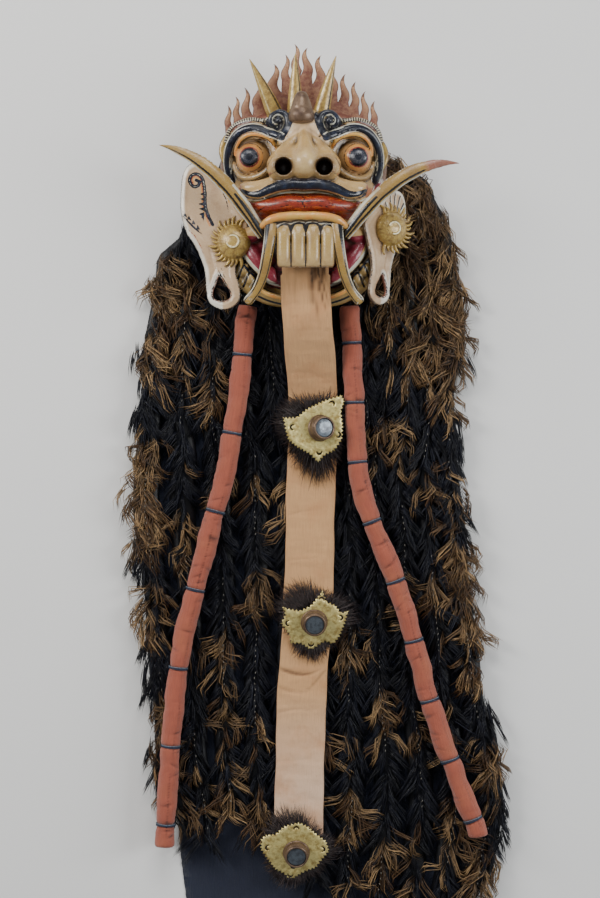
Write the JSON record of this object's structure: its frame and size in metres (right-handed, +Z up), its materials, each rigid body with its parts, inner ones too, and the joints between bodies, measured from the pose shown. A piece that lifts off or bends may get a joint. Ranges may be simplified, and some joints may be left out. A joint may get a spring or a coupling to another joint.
{
  "type": "carved ceremonial dance mask",
  "caption": "Carved demon dance mask with tusks, horns and a flame crest, a long cloth tongue with mirrors, stuffed tubes and a cape of hair, laid on its back.",
  "frame": {"origin": "underside of the cloth backing, straight below the point midway between the eyes", "axes": "+X towards the viewer's right, +Y towards the crown, +Z up, out of the face"},
  "size_m": [0.5124, 1.1888, 0.1515],
  "materials": {
    "painted_wood": "gloss",
    "gilt_leather": "satin",
    "crest_leather": "matte",
    "ear_leather": "satin",
    "bronze": "satin",
    "brass": "satin",
    "mirror_glass": "gloss",
    "tongue_cloth": "matte",
    "tube_cloth": "matte",
    "tie_thread": "matte",
    "hair": "matte",
    "backing_cloth": "matte"
  },
  "bodies": {
    "root": {"carved_mask": "painted_wood", "flame_crest": "crest_leather", "horn_left": "gilt_leather", "horn_middle": "gilt_leather", "horn_right": "gilt_leather", "brow_knob": "bronze", "tusk_left": "gilt_leather", "tusk_right": "gilt_leather", "fang_left": "gilt_leather", "fang_right": "gilt_leather", "ear_left": "ear_leather", "ear_right": "ear_leather", "ear_boss_left": "gilt_leather", "ear_boss_right": "gilt_leather", "temple_leaf_left": "gilt_leather", "temple_leaf_right": "gilt_leather", "tongue": "tongue_cloth", "medallion_plate_upper": "brass", "medallion_bezel_upper": "bronze", "medallion_mirror_upper": "mirror_glass", "fur_ruff_upper": "hair", "medallion_plate_middle": "brass", "medallion_bezel_middle": "bronze", "medallion_mirror_middle": "mirror_glass", "fur_ruff_middle": "hair", "medallion_plate_lower": "brass", "medallion_bezel_lower": "bronze", "medallion_mirror_lower": "mirror_glass", "fur_ruff_lower": "hair", "stuffed_tube_left": "tube_cloth", "stuffed_tube_right": "tube_cloth", "tie_left_1": "tie_thread", "tie_left_2": "tie_thread", "tie_left_3": "tie_thread", "tie_left_4": "tie_thread", "tie_left_5": "tie_thread", "tie_left_6": "tie_thread", "tie_left_7": "tie_thread", "tie_right_1": "tie_thread", "tie_right_2": "tie_thread", "tie_right_3": "tie_thread", "tie_right_4": "tie_thread", "tie_right_5": "tie_thread", "tie_right_6": "tie_thread", "tie_right_7": "tie_thread", "tie_right_8": "tie_thread", "tie_right_9": "tie_thread", "hair_lock_1": "hair", "hair_lock_2": "hair", "hair_lock_3": "hair", "hair_lock_4": "hair", "hair_lock_5": "hair", "hair_lock_6": "hair", "hair_lock_7": "hair", "hair_lock_8": "hair", "hair_lock_9": "hair", "hair_lock_10": "hair", "hair_lock_11": "hair", "cloth_backing": "backing_cloth"}
  },
  "joints": []
}
